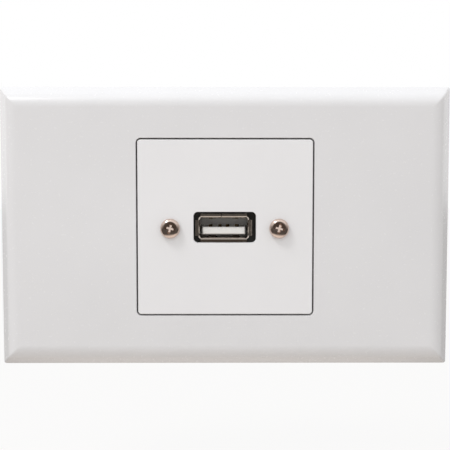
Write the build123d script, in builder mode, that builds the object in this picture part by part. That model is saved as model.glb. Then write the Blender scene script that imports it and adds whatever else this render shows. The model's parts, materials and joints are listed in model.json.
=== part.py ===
from build123d import *
import os

# Wall-plate USB data socket.
# A wide cover presses onto a support frame, a square insert clips into the frame, and a
# USB type A receptacle with a terminal block behind it is screwed to the back of the insert.
# Millimetres. X runs along the plate, Z is up and -Y points out of the wall. The origin is
# the middle of the plate on the wall plane. Depths are measured out from the wall, so a
# negative depth lies inside the wall box.

# Cover plate
COVER_WIDTH = 118.0
COVER_HEIGHT = 73.2
COVER_DEPTH = 6.5
SIDE_LAND = 1.4
RIM_RUN = 3.45
RIM_BLEND = 4.6
LAND_BLEND = 0.4
SIDE_WALL = 1.8
FACE_WALL = 2.2
CAVITY_TAPER = 25.0
CAVITY_CORNER = 1.5
MOUTH_CHAMFER = 0.15
COLLAR_WALL = 1.4

# Square insert
MODULE = 45.0
MODULE_GAP = 0.4
MODULE_CORNER = 0.85
MODULE_CHAMFER = 0.3
MODULE_DRAFT = 2.0
MODULE_WALL = 2.0
SKIRT_WALL = 1.5
LEG_X = 12.0
LEG_WIDTH = 6.0
LEG_WALL = 1.4
LEG_PLAY = 0.2
LEG_BARB = 1.0
BARB_LENGTH = 1.3
GUIDE_WIDTH = 8.0
GUIDE_DEPTH = -3.0
USB_HOLE_WIDTH = 16.1
USB_HOLE_HEIGHT = 7.95
USB_HOLE_CORNER = 1.15
USB_HOLE_X = -0.1
HOLE_CHAMFER = 0.12
LOCATOR_LENGTH = 4.6
LOCATOR_WALL = 0.8
LOCATOR_RISE = 1.4
LOCATOR_PLAY = 0.4

# Support frame
FRAME_WIDTH = 111.0
FRAME_HEIGHT = 66.2
FRAME_CORNER = 3.0
FRAME_FRONT = 2.6
FRAME_WALL = 1.8
FLANGE_WALL = 1.6
FRAME_OPENING = 43.0
OPENING_CORNER = 1.5
THROAT_WALL = 1.7
THROAT_DEPTH = -4.0
FIXING_SPACING = 83.3
SLOT_WIDTH = 4.2
SLOT_LENGTH = 7.2
PAD_WIDTH = 15.0
PAD_HEIGHT = 12.0
FRAME_RIB_Z = 12.0
FRAME_RIB_WALL = 1.2
FRAME_RIB_START = 26.0
FRAME_RIB_END = 54.0
FRAME_RIB_FRONT = 4.0
BACK_RIB_X = 30.0

# Catches between cover and frame
CATCH_X = 38.0
CATCH_Z = 26.85
CATCH_WIDTH = 7.0
CATCH_WALL = 1.2
CATCH_BARB = 0.6
CATCH_TIP = 0.2
WINDOW_WIDTH = 8.0
WINDOW_HEIGHT = 1.6

# Screws through the insert, a little below the middle of it
SCREW_SPACING = 28.0
SCREW_PLACE = (-0.13, 0, -0.3)
PLATE_HOLE = 3.4
SCREW_SHANK = 3.0
SCREW_LENGTH = 8.0
HEAD_DIAMETER = 5.1
HEAD_HEIGHT = 2.0
HEAD_LAND = 0.8
RECESS_FLOOR_SPAN = 2.5
RECESS_FLOOR_WIDTH = 0.3
RECESS_DEPTH = 1.3
RECESS_FLARE = 12.0
RECESS_TURN = -15.0

# Receptacle, hanging a little low and left in its clearance hole
RECEPTACLE_PLACE = (-0.35, 0, -0.17)
MOUTH_WIDTH = 12.5
MOUTH_HEIGHT = 5.12
SHEET = 0.3
SHELL_INNER_CORNER = 0.35
SHELL_BACK = -9.5
MOUTH_DEPTH = 4.7
LIP_BEND = 0.6
LIP_ANGLE = 58.0
LIP_FLAT = 0.75
LIP_WIDE = 12.0
LIP_TALL = 4.1
SEAM_X = -0.6
SEAM_WIDTH = 0.14
FINGER_X = 3.1
FINGER_WIDTH = 1.8
FINGER_SLOT = 0.35
FINGER_ROOT = 3.4
FINGER_CREST = 0.2
FINGER_END = -1.4
FINGER_BOW = 0.5
FINGER_BLEND = 0.9
SIDE_FINGER_WIDTH = 1.5
SIDE_FINGER_BOW = 0.3
TAB_HEIGHT = 2.4
TAB_DEPTH = -12.4

# Tongue and contacts
TONGUE_WIDTH = 11.1
TONGUE_THICK = 1.9
TONGUE_UNDER = 0.8
TONGUE_FRONT = 3.9
TONGUE_ROOT = -6.6
TONGUE_CHAMFER = 0.25
GROOVE_WIDTH = 1.0
GROOVE_DEPTH = 0.4
GROOVE_FRONT = 3.4
CONTACT_WIDTH = 0.9
CONTACT_THICK = 0.25
CONTACT_TIP = 3.2
CONTACT_CREST = 1.2
CONTACT_RISE = 0.8
CONTACT_HEEL = -4.6
CONTACT_TAIL = -12.7
CONTACT_BLEND = 0.8
CONTACT_X = {"vbus": 3.5, "data_minus": 1.0, "data_plus": -1.0, "ground": -3.5}

# Connector housing
EAR_SPAN = 36.0
EAR_HEIGHT = 8.6
EAR_WALL = 3.0
BLOCK_WIDTH = 22.0
BLOCK_HEIGHT = 11.4
BLOCK_CORNER = 1.2
BLOCK_CHAMFER = 0.8
GUSSET_WALL = 1.2
GUSSET_Z = 3.2
GUSSET_RUN = 3.5
GUSSET_DROP = 6.0
INSERT_DIAMETER = 4.4

# Circuit board and its screws
BOARD_WIDTH = 24.0
BOARD_TOP = 7.0
BOARD_BOTTOM = -12.5
BOARD_WALL = 1.6
BOARD_CORNER = 1.0
TAB_SLOT_PLAY = 0.2
BOARD_SCREW_X = 8.9
BOARD_SCREW_HOLE = 2.2
BOARD_SCREW_SHANK = 2.0
BOARD_SCREW_BITE = 5.0
BOARD_SCREW_HEAD = 3.8
BOARD_SCREW_HEAD_HEIGHT = 1.4
BOARD_SCREW_RECESS = 2.2
BOARD_SCREW_RECESS_WIDTH = 0.6
BOARD_SCREW_RECESS_DEPTH = 0.8

# Terminal block
POLE_PITCH = 3.5
POLES = ["vbus", "data_minus", "data_plus", "ground", "screen"]
TERMINAL_Z = -8.0
TERMINAL_WIDTH = 18.5
TERMINAL_HEIGHT = 7.5
TERMINAL_DEPTH = 9.0
TERMINAL_SLOPE = 2.2
CAGE_WIDTH = 2.5
CAGE_HEIGHT = 3.6
CAGE_DEPTH = 4.4
CAGE_WALL = 0.45
CAGE_FLOOR = 1.4
PIN = 0.8
PIN_PLAY = 0.2
PIN_END = 1.4
WIRE_HOLE_WIDTH = 2.1
WIRE_HOLE_DEPTH = 2.8
WIRE_FUNNEL = 0.3
WELL_DIAMETER = 2.6
POLE_GROOVE = 0.4
CLAMP_SCREW_HEAD = 2.4
CLAMP_SCREW_HEAD_HEIGHT = 1.5
CLAMP_SCREW_SHANK = 1.6
CLAMP_SCREW_RISE = 0.4
CLAMP_SCREW_SLOT = 0.5
CLAMP_SCREW_SLOT_DEPTH = 0.6

# Worked out from the above
INSERT_FRONT = COVER_DEPTH
INSERT_BACK = INSERT_FRONT - MODULE_WALL
CEILING = COVER_DEPTH - FACE_WALL
FRAME_BACK = FRAME_FRONT - FRAME_WALL
COVER_OPENING = MODULE + 2 * MODULE_GAP
COVER_OPENING_CORNER = MODULE_CORNER + MODULE_GAP
LEG_OUTER = FRAME_OPENING / 2 - LEG_PLAY
SHELL_WIDTH = MOUTH_WIDTH + 2 * SHEET
SHELL_HEIGHT = MOUTH_HEIGHT + 2 * SHEET
SHELL_CORNER = SHELL_INNER_CORNER + SHEET
TONGUE_BOTTOM = -MOUTH_HEIGHT / 2 + TONGUE_UNDER
TONGUE_TOP = TONGUE_BOTTOM + TONGUE_THICK
CONTACT_LEVEL = TONGUE_TOP - GROOVE_DEPTH + CONTACT_THICK / 2
EAR_BACK = INSERT_BACK - EAR_WALL
BOARD_BACK = SHELL_BACK - BOARD_WALL
BOARD_HEIGHT = BOARD_TOP - BOARD_BOTTOM
BOARD_Z = (BOARD_TOP + BOARD_BOTTOM) / 2
TERMINAL_BACK = BOARD_BACK - TERMINAL_DEPTH
CAGE_FRONT = BOARD_BACK - CAGE_FLOOR
CAGE_BACK = CAGE_FRONT - CAGE_DEPTH
CLAMP_HEAD_FRONT = CAGE_BACK - CLAMP_SCREW_RISE
# Where the plate screws meet the housing, from the middle of the receptacle
BUSH_X = SCREW_PLACE[0] - RECEPTACLE_PLACE[0]
BUSH_Z = SCREW_PLACE[2] - RECEPTACLE_PLACE[2]

os.makedirs("parts", exist_ok=True)


def front(depth):
    """Plane parallel to the wall, drawn as (x, z), this far in front of it."""
    return Plane.XZ.offset(depth)


def upright(x=0.0):
    """Plane square to the wall at x, drawn as (depth, z)."""
    return Plane(origin=(x, 0, 0), x_dir=(0, -1, 0), z_dir=(-1, 0, 0))


def level(z=0.0):
    """Plane square to the wall at height z, drawn as (depth, x)."""
    return Plane(origin=(0, 0, z), x_dir=(0, -1, 0), z_dir=(0, 0, 1))


def save(builder, name, place=(0, 0, 0)):
    """Put a finished piece in its place, label it and write its file."""
    builder.part.move(Location(place))
    builder.part.label = name
    export_step(builder.part, f"parts/{name}.step")


# Cover plate: the same rim section runs along both spans, so the corners are mitred


def rim_section(plane, span):
    """Section of the cover across one span: short side, blended slope and flat face."""
    half = span / 2
    with BuildSketch(plane) as section:
        with BuildLine():
            Polyline(
                (0, -half),
                (SIDE_LAND, -half),
                (COVER_DEPTH, RIM_RUN - half),
                (COVER_DEPTH, half - RIM_RUN),
                (SIDE_LAND, half),
                (0, half),
                close=True,
            )
        make_face()
        fillet(section.vertices().group_by(Axis.X)[-1], RIM_BLEND)
        fillet(section.vertices().group_by(Axis.X)[1], LAND_BLEND)
    return section.sketch


with BuildPart() as cover_plate:
    extrude(rim_section(level(-COVER_HEIGHT / 2), COVER_WIDTH), amount=COVER_HEIGHT)
    end_section = rim_section(upright(COVER_WIDTH / 2), COVER_HEIGHT)
    extrude(end_section, amount=COVER_WIDTH, mode=Mode.INTERSECT)
    with BuildSketch(front(0)):
        RectangleRounded(COVER_WIDTH - 2 * SIDE_WALL, COVER_HEIGHT - 2 * SIDE_WALL, CAVITY_CORNER)
    extrude(amount=CEILING, taper=CAVITY_TAPER, mode=Mode.SUBTRACT)
    with BuildSketch(front(FRAME_FRONT)):
        RectangleRounded(
            COVER_OPENING + 2 * COLLAR_WALL,
            COVER_OPENING + 2 * COLLAR_WALL,
            COVER_OPENING_CORNER + COLLAR_WALL,
        )
    extrude(amount=CEILING - FRAME_FRONT)
    with BuildSketch(front(0)):
        RectangleRounded(COVER_OPENING, COVER_OPENING, COVER_OPENING_CORNER)
    extrude(amount=COVER_DEPTH, mode=Mode.SUBTRACT)
    mouth = cover_plate.faces().filter_by(Axis.Y).sort_by(Axis.Y)[0].inner_wires()[0]
    chamfer(mouth.edges(), MOUTH_CHAMFER)
    for side in (1, -1):
        with BuildSketch(front(CATCH_TIP)):
            with Locations((-CATCH_X, side * CATCH_Z), (CATCH_X, side * CATCH_Z)):
                Rectangle(CATCH_WIDTH, CATCH_WALL)
        extrude(amount=CEILING - CATCH_TIP)
        with BuildSketch(front(CATCH_TIP)):
            barb_z = CATCH_Z + (CATCH_WALL + CATCH_BARB) / 2
            with Locations((-CATCH_X, side * barb_z), (CATCH_X, side * barb_z)):
                Rectangle(CATCH_WIDTH, CATCH_BARB)
        extrude(amount=FRAME_BACK - CATCH_TIP)
save(cover_plate, "cover_plate")


# Support frame: flat plate with a flange on the wall and a throat into the wall box

with BuildPart() as support_frame:
    with BuildSketch(front(0)):
        RectangleRounded(FRAME_WIDTH, FRAME_HEIGHT, FRAME_CORNER)
    extrude(amount=FRAME_FRONT)
    with BuildSketch(front(0)):
        RectangleRounded(
            FRAME_WIDTH - 2 * FLANGE_WALL, FRAME_HEIGHT - 2 * FLANGE_WALL, FRAME_CORNER - FLANGE_WALL
        )
        with GridLocations(FIXING_SPACING, 0, 2, 1):
            Rectangle(PAD_WIDTH, PAD_HEIGHT, mode=Mode.SUBTRACT)
    extrude(amount=FRAME_BACK, mode=Mode.SUBTRACT)
    with BuildSketch(front(THROAT_DEPTH)):
        RectangleRounded(
            FRAME_OPENING + 2 * THROAT_WALL,
            FRAME_OPENING + 2 * THROAT_WALL,
            OPENING_CORNER + THROAT_WALL,
        )
    extrude(amount=FRAME_BACK - THROAT_DEPTH)
    with BuildSketch(front(FRAME_FRONT)):
        rib_middle = (FRAME_RIB_START + FRAME_RIB_END) / 2
        with GridLocations(2 * rib_middle, 2 * FRAME_RIB_Z, 2, 2):
            Rectangle(FRAME_RIB_END - FRAME_RIB_START, FRAME_RIB_WALL)
    extrude(amount=FRAME_RIB_FRONT - FRAME_FRONT)
    with BuildSketch(front(0)):
        with GridLocations(2 * rib_middle, 2 * FRAME_RIB_Z, 2, 2):
            Rectangle(FRAME_RIB_END - FRAME_RIB_START, FRAME_RIB_WALL)
        with GridLocations(2 * BACK_RIB_X, 0, 2, 1):
            Rectangle(FRAME_RIB_WALL, FRAME_HEIGHT - 2 * FLANGE_WALL)
    extrude(amount=FRAME_BACK)
    with BuildSketch(front(THROAT_DEPTH)):
        RectangleRounded(FRAME_OPENING, FRAME_OPENING, OPENING_CORNER)
        with GridLocations(FIXING_SPACING, 0, 2, 1):
            SlotOverall(SLOT_LENGTH, SLOT_WIDTH)
        with GridLocations(2 * CATCH_X, 2 * CATCH_Z, 2, 2):
            Rectangle(WINDOW_WIDTH, WINDOW_HEIGHT)
    extrude(amount=FRAME_RIB_FRONT - THROAT_DEPTH, mode=Mode.SUBTRACT)
save(support_frame, "support_frame")


# Square insert: face plate, skirt that stands on the frame, four clip legs and two guides

with BuildPart() as module_plate:
    with BuildSketch(front(INSERT_FRONT)):
        RectangleRounded(MODULE, MODULE, MODULE_CORNER)
    extrude(amount=FRAME_FRONT - INSERT_FRONT, taper=MODULE_DRAFT)
    chamfer(module_plate.faces().sort_by(Axis.Y)[0].outer_wire().edges(), MODULE_CHAMFER)
    with BuildSketch(front(FRAME_FRONT)):
        Rectangle(MODULE - 2 * SKIRT_WALL, MODULE - 2 * SKIRT_WALL)
    extrude(amount=INSERT_BACK - FRAME_FRONT, mode=Mode.SUBTRACT)
    barb_back = THROAT_DEPTH - BARB_LENGTH
    with BuildSketch(upright(LEG_X)) as leg:
        with BuildLine():
            Polyline(
                (INSERT_BACK, LEG_OUTER - LEG_WALL),
                (INSERT_BACK, LEG_OUTER),
                (THROAT_DEPTH, LEG_OUTER),
                (THROAT_DEPTH, LEG_OUTER + LEG_BARB),
                (barb_back, LEG_OUTER - LEG_WALL / 2),
                (barb_back, LEG_OUTER - LEG_WALL),
                close=True,
            )
        make_face()
    extrude(amount=LEG_WIDTH / 2, both=True)
    with BuildSketch(front(GUIDE_DEPTH)):
        with GridLocations(2 * LEG_OUTER - LEG_WALL, 0, 2, 1):
            Rectangle(LEG_WALL, GUIDE_WIDTH)
    extrude(amount=INSERT_BACK - GUIDE_DEPTH)
    mirror(about=Plane.YZ)
    mirror(about=Plane.XY)
    locator_z = EAR_HEIGHT + 2 * LOCATOR_PLAY + LOCATOR_WALL
    with BuildSketch(front(INSERT_BACK - LOCATOR_RISE)):
        with GridLocations(SCREW_SPACING, locator_z, 2, 2):
            Rectangle(LOCATOR_LENGTH, LOCATOR_WALL)
    extrude(amount=LOCATOR_RISE)
    with BuildSketch(front(INSERT_BACK)):
        with Locations((USB_HOLE_X, 0)):
            RectangleRounded(USB_HOLE_WIDTH, USB_HOLE_HEIGHT, USB_HOLE_CORNER)
    extrude(amount=MODULE_WALL, mode=Mode.SUBTRACT)
    face = module_plate.faces().filter_by(Axis.Y).sort_by(Axis.Y)[0]
    chamfer(face.inner_wires().edges(), HOLE_CHAMFER)
    with BuildSketch(front(INSERT_BACK)):
        with Locations((SCREW_PLACE[0], SCREW_PLACE[2])):
            with GridLocations(SCREW_SPACING, 0, 2, 1):
                Circle(PLATE_HOLE / 2)
    extrude(amount=MODULE_WALL, mode=Mode.SUBTRACT)
save(module_plate, "module_plate")


# Screws through the insert: domed head, turned cross recess


def cross(plane, x, z, span, width, turn):
    """Two crossed bars, the outline of a cross recess."""
    with BuildSketch(plane) as outline:
        with Locations((x, z)):
            Rectangle(span, width, rotation=turn)
            Rectangle(width, span, rotation=turn)
    return outline.sketch


def plate_screw(x):
    """Pan-head screw at x, its head on the face of the insert."""
    with BuildPart() as screw:
        with BuildSketch(upright(x)):
            with BuildLine():
                rim = Polyline(
                    (INSERT_FRONT - SCREW_LENGTH, 0),
                    (INSERT_FRONT - SCREW_LENGTH, SCREW_SHANK / 2),
                    (INSERT_FRONT, SCREW_SHANK / 2),
                    (INSERT_FRONT, HEAD_DIAMETER / 2),
                    (INSERT_FRONT + HEAD_LAND, HEAD_DIAMETER / 2),
                )
                crown = (INSERT_FRONT + HEAD_HEIGHT, 0)
                TangentArc(crown, rim @ 1, tangent=(0, 1))
                Line(crown, rim @ 0)
            make_face()
        revolve(axis=Axis((x, 0, 0), (0, 1, 0)))
        floor = front(INSERT_FRONT + HEAD_HEIGHT - RECESS_DEPTH)
        recess = cross(floor, x, 0, RECESS_FLOOR_SPAN, RECESS_FLOOR_WIDTH, RECESS_TURN)
        extrude(recess, amount=RECESS_DEPTH, taper=-RECESS_FLARE, mode=Mode.SUBTRACT)
    return screw


save(plate_screw(-SCREW_SPACING / 2), "plate_screw_left", SCREW_PLACE)
save(plate_screw(SCREW_SPACING / 2), "plate_screw_right", SCREW_PLACE)


# Connector housing: ears on the back of the insert and a block around the shell

with BuildPart() as connector_housing:
    with BuildSketch(front(EAR_BACK)):
        SlotOverall(EAR_SPAN, EAR_HEIGHT)
    extrude(amount=EAR_WALL)
    with BuildSketch(front(SHELL_BACK)):
        RectangleRounded(BLOCK_WIDTH, BLOCK_HEIGHT, BLOCK_CORNER)
    extrude(amount=INSERT_BACK - SHELL_BACK)
    chamfer(connector_housing.faces().sort_by(Axis.Y)[-1].edges(), BLOCK_CHAMFER)
    for z in (GUSSET_Z, -GUSSET_Z):
        with BuildSketch(level(z)):
            with BuildLine():
                Polyline(
                    (EAR_BACK, BLOCK_WIDTH / 2),
                    (EAR_BACK, BLOCK_WIDTH / 2 + GUSSET_RUN),
                    (EAR_BACK - GUSSET_DROP, BLOCK_WIDTH / 2),
                    close=True,
                )
            make_face()
            mirror(about=Plane.XZ)
        extrude(amount=GUSSET_WALL / 2, both=True)
    with BuildSketch(front(SHELL_BACK)):
        RectangleRounded(SHELL_WIDTH, SHELL_HEIGHT, SHELL_CORNER)
    extrude(amount=INSERT_BACK - SHELL_BACK, mode=Mode.SUBTRACT)
    with BuildSketch(front(INSERT_BACK)):
        with Locations((BUSH_X, BUSH_Z)):
            with GridLocations(SCREW_SPACING, 0, 2, 1):
                Circle(INSERT_DIAMETER / 2)
    extrude(amount=-EAR_WALL, mode=Mode.SUBTRACT)
    with BuildSketch(front(SHELL_BACK)):
        with GridLocations(2 * BOARD_SCREW_X, 0, 2, 1):
            Circle(BOARD_SCREW_SHANK / 2)
    extrude(amount=BOARD_SCREW_BITE, mode=Mode.SUBTRACT)
save(connector_housing, "connector_housing", RECEPTACLE_PLACE)


# Brass inserts pressed into the ears


def threaded_insert(x):
    """Bush in one ear, bored for the screw."""
    with BuildPart() as bush:
        with BuildSketch(front(EAR_BACK)):
            with Locations((x, 0)):
                Circle(INSERT_DIAMETER / 2)
                Circle(SCREW_SHANK / 2, mode=Mode.SUBTRACT)
        extrude(amount=EAR_WALL)
    return bush


save(threaded_insert(-SCREW_SPACING / 2), "threaded_insert_left", SCREW_PLACE)
save(threaded_insert(SCREW_SPACING / 2), "threaded_insert_right", SCREW_PLACE)


# Receptacle shell: folded sheet with four flared lips, a seam and six spring fingers


def lip_section(plane, wall, side):
    """Section of one flared lip, side is 1 or -1 and wall the distance to mid-sheet."""
    with BuildSketch(plane) as section:
        with BuildLine():
            bend = JernArc((MOUTH_DEPTH, side * wall), (1, 0), LIP_BEND, side * LIP_ANGLE)
            Line(bend @ 1, bend @ 1 + (bend % 1) * LIP_FLAT)
        trace(line_width=SHEET)
    return section.sketch


def finger_section(plane, wall, side, bow):
    """Section of one spring finger, bowed inwards and curled out at its free end."""
    with BuildSketch(plane) as section:
        with BuildLine():
            FilletPolyline(
                (MOUTH_DEPTH, side * wall),
                (FINGER_ROOT, side * wall),
                (FINGER_CREST, side * (wall - bow)),
                (FINGER_END, side * (wall - bow / 2)),
                radius=FINGER_BLEND,
            )
        trace(line_width=SHEET)
    return section.sketch


with BuildPart() as usb_shell:
    with BuildSketch(front(SHELL_BACK)):
        RectangleRounded(SHELL_WIDTH, SHELL_HEIGHT, SHELL_CORNER)
        RectangleRounded(MOUTH_WIDTH, MOUTH_HEIGHT, SHELL_INNER_CORNER, mode=Mode.SUBTRACT)
    extrude(amount=MOUTH_DEPTH - SHELL_BACK)
    for side in (1, -1):
        top = lip_section(upright(), (MOUTH_HEIGHT + SHEET) / 2, side)
        extrude(top, amount=LIP_WIDE / 2, both=True)
        flank = lip_section(level(), (MOUTH_WIDTH + SHEET) / 2, side)
        extrude(flank, amount=LIP_TALL / 2, both=True)
    window_length = FINGER_ROOT - FINGER_END + FINGER_SLOT
    with BuildSketch(level()):
        with GridLocations(0, 2 * FINGER_X, 1, 2):
            with Locations((FINGER_ROOT - window_length / 2, 0)):
                Rectangle(window_length, FINGER_WIDTH + 2 * FINGER_SLOT)
    extrude(amount=SHELL_HEIGHT, both=True, mode=Mode.SUBTRACT)
    with BuildSketch(upright()):
        with Locations((FINGER_ROOT - window_length / 2, 0)):
            Rectangle(window_length, SIDE_FINGER_WIDTH + 2 * FINGER_SLOT)
    extrude(amount=SHELL_WIDTH, both=True, mode=Mode.SUBTRACT)
    for side in (1, -1):
        for x in (-FINGER_X, FINGER_X):
            finger = finger_section(upright(x), (MOUTH_HEIGHT + SHEET) / 2, side, FINGER_BOW)
            extrude(finger, amount=FINGER_WIDTH / 2, both=True)
        finger = finger_section(level(), (MOUTH_WIDTH + SHEET) / 2, side, SIDE_FINGER_BOW)
        extrude(finger, amount=SIDE_FINGER_WIDTH / 2, both=True)
    with BuildSketch(level(MOUTH_HEIGHT / 4)):
        with Locations((0, SEAM_X)):
            Rectangle(-4 * SHELL_BACK, SEAM_WIDTH)
    extrude(amount=MOUTH_HEIGHT, mode=Mode.SUBTRACT)
    with BuildSketch(front(TAB_DEPTH)):
        with GridLocations(MOUTH_WIDTH + SHEET, 0, 2, 1):
            Rectangle(SHEET, TAB_HEIGHT)
    extrude(amount=SHELL_BACK - TAB_DEPTH)
save(usb_shell, "usb_shell", RECEPTACLE_PLACE)


# Tongue: block that closes the shell, and the blade with four contact grooves

with BuildPart() as contact_tongue:
    with BuildSketch(front(SHELL_BACK)):
        RectangleRounded(MOUTH_WIDTH, MOUTH_HEIGHT, SHELL_INNER_CORNER)
    extrude(amount=TONGUE_ROOT - SHELL_BACK)
    with BuildSketch(front(TONGUE_ROOT)):
        with Locations((0, (TONGUE_TOP + TONGUE_BOTTOM) / 2)):
            Rectangle(TONGUE_WIDTH, TONGUE_THICK)
    extrude(amount=TONGUE_FRONT - TONGUE_ROOT)
    chamfer(contact_tongue.faces().sort_by(Axis.Y)[0].edges(), TONGUE_CHAMFER)
    with BuildSketch(front(TONGUE_ROOT)):
        for x in CONTACT_X.values():
            with Locations((x, TONGUE_TOP - GROOVE_DEPTH / 2)):
                Rectangle(GROOVE_WIDTH, GROOVE_DEPTH)
    extrude(amount=GROOVE_FRONT - TONGUE_ROOT, mode=Mode.SUBTRACT)
    with BuildSketch(front(SHELL_BACK)):
        for x in CONTACT_X.values():
            with Locations((x, CONTACT_LEVEL)):
                Rectangle(CONTACT_WIDTH, CONTACT_THICK)
    extrude(amount=TONGUE_ROOT - SHELL_BACK, mode=Mode.SUBTRACT)
save(contact_tongue, "contact_tongue", RECEPTACLE_PLACE)


# Contacts: flat strips that lie in the grooves and bow up to meet the plug


def contact(x):
    """Sprung strip at x, from its tail behind the board to its tip in the groove."""
    with BuildPart() as strip:
        with BuildSketch(upright(x)):
            with BuildLine():
                FilletPolyline(
                    (CONTACT_TAIL, CONTACT_LEVEL),
                    (CONTACT_HEEL, CONTACT_LEVEL),
                    (CONTACT_CREST, CONTACT_LEVEL + CONTACT_RISE),
                    (CONTACT_TIP, CONTACT_LEVEL),
                    radius=CONTACT_BLEND,
                )
            trace(line_width=CONTACT_THICK)
        extrude(amount=CONTACT_WIDTH / 2, both=True)
    return strip


for name, x in CONTACT_X.items():
    save(contact(x), f"{name}_contact", RECEPTACLE_PLACE)


# Circuit board behind the housing, drilled for contacts, shell tabs, screws and terminals

POLE_X = [POLE_PITCH * (i - (len(POLES) - 1) / 2) for i in range(len(POLES))]

with BuildPart() as circuit_board:
    with BuildSketch(front(BOARD_BACK)):
        with Locations((0, BOARD_Z)):
            RectangleRounded(BOARD_WIDTH, BOARD_HEIGHT, BOARD_CORNER)
        with Locations([(x, CONTACT_LEVEL) for x in CONTACT_X.values()]):
            Rectangle(
                CONTACT_WIDTH + TAB_SLOT_PLAY, CONTACT_THICK + TAB_SLOT_PLAY, mode=Mode.SUBTRACT
            )
        with GridLocations(MOUTH_WIDTH + SHEET, 0, 2, 1):
            Rectangle(SHEET + TAB_SLOT_PLAY, TAB_HEIGHT + TAB_SLOT_PLAY, mode=Mode.SUBTRACT)
        with GridLocations(2 * BOARD_SCREW_X, 0, 2, 1):
            Circle(BOARD_SCREW_HOLE / 2, mode=Mode.SUBTRACT)
        with Locations([(x, TERMINAL_Z) for x in POLE_X]):
            Rectangle(PIN + PIN_PLAY, PIN + PIN_PLAY, mode=Mode.SUBTRACT)
    extrude(amount=BOARD_WALL)
save(circuit_board, "circuit_board", RECEPTACLE_PLACE)


def board_screw(x):
    """Small pan-head screw at x that holds the board to the connector housing."""
    with BuildPart() as screw:
        with BuildSketch(front(BOARD_BACK - BOARD_SCREW_HEAD_HEIGHT)):
            with Locations((x, 0)):
                Circle(BOARD_SCREW_HEAD / 2)
        extrude(amount=BOARD_SCREW_HEAD_HEIGHT)
        with BuildSketch(front(BOARD_BACK)):
            with Locations((x, 0)):
                Circle(BOARD_SCREW_SHANK / 2)
        extrude(amount=BOARD_WALL + BOARD_SCREW_BITE)
        top = front(BOARD_BACK - BOARD_SCREW_HEAD_HEIGHT)
        recess = cross(top, x, 0, BOARD_SCREW_RECESS, BOARD_SCREW_RECESS_WIDTH, 0)
        extrude(recess, amount=BOARD_SCREW_RECESS_DEPTH, mode=Mode.SUBTRACT)
    return screw


save(board_screw(-BOARD_SCREW_X), "board_screw_left", RECEPTACLE_PLACE)
save(board_screw(BOARD_SCREW_X), "board_screw_right", RECEPTACLE_PLACE)


# Terminal block: moulded housing with a pocket, a wire hole and a screw well at each pole

with BuildPart() as terminal_housing:
    low = TERMINAL_Z - TERMINAL_HEIGHT / 2
    high = TERMINAL_Z + TERMINAL_HEIGHT / 2
    with BuildSketch(upright()):
        with BuildLine():
            Polyline(
                (BOARD_BACK, low),
                (BOARD_BACK, high),
                (TERMINAL_BACK + TERMINAL_SLOPE, high),
                (TERMINAL_BACK, high - TERMINAL_SLOPE / 2),
                (TERMINAL_BACK, low + TERMINAL_SLOPE / 2),
                (TERMINAL_BACK + TERMINAL_SLOPE, low),
                close=True,
            )
        make_face()
    extrude(amount=TERMINAL_WIDTH / 2, both=True)
    with BuildSketch(front(CAGE_BACK)):
        with Locations([(x, TERMINAL_Z) for x in POLE_X]):
            Rectangle(CAGE_WIDTH, CAGE_HEIGHT)
    extrude(amount=BOARD_BACK - CAGE_BACK, mode=Mode.SUBTRACT)
    with BuildSketch(front(TERMINAL_BACK)):
        with Locations([(x, TERMINAL_Z) for x in POLE_X]):
            Circle(WELL_DIAMETER / 2)
    extrude(amount=CAGE_BACK - TERMINAL_BACK, mode=Mode.SUBTRACT)
    with BuildSketch(Plane.XY.offset(low)):
        with Locations([(x, -(CAGE_FRONT + CAGE_BACK) / 2) for x in POLE_X]):
            Rectangle(WIRE_HOLE_WIDTH, WIRE_HOLE_DEPTH)
    extrude(amount=TERMINAL_HEIGHT / 2, mode=Mode.SUBTRACT)
    underside = terminal_housing.faces().filter_by(Axis.Z).sort_by(Axis.Z)[0]
    chamfer(underside.inner_wires().edges(), WIRE_FUNNEL)
    with BuildSketch(front(TERMINAL_BACK)):
        with Locations([(x + POLE_PITCH / 2, TERMINAL_Z) for x in POLE_X[:-1]]):
            Rectangle(POLE_GROOVE, TERMINAL_HEIGHT)
    extrude(amount=POLE_GROOVE, mode=Mode.SUBTRACT)
save(terminal_housing, "terminal_housing", RECEPTACLE_PLACE)


def clamp(x):
    """Square cage at x, open along the wire, with its pin through the board."""
    with BuildPart() as cage:
        with BuildSketch(Plane.XY.offset(TERMINAL_Z - CAGE_HEIGHT / 2)):
            with Locations((x, -(CAGE_FRONT + CAGE_BACK) / 2)):
                Rectangle(CAGE_WIDTH, CAGE_DEPTH)
                Rectangle(CAGE_WIDTH - 2 * CAGE_WALL, CAGE_DEPTH - 2 * CAGE_WALL, mode=Mode.SUBTRACT)
        extrude(amount=CAGE_HEIGHT)
        with BuildSketch(front(CAGE_FRONT)):
            with Locations((x, TERMINAL_Z)):
                Rectangle(PIN, PIN)
        extrude(amount=CAGE_FLOOR + BOARD_WALL + PIN_END)
        with BuildSketch(front(CAGE_BACK)):
            with Locations((x, TERMINAL_Z)):
                Circle(CLAMP_SCREW_SHANK / 2)
        extrude(amount=CAGE_WALL, mode=Mode.SUBTRACT)
    return cage


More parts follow.
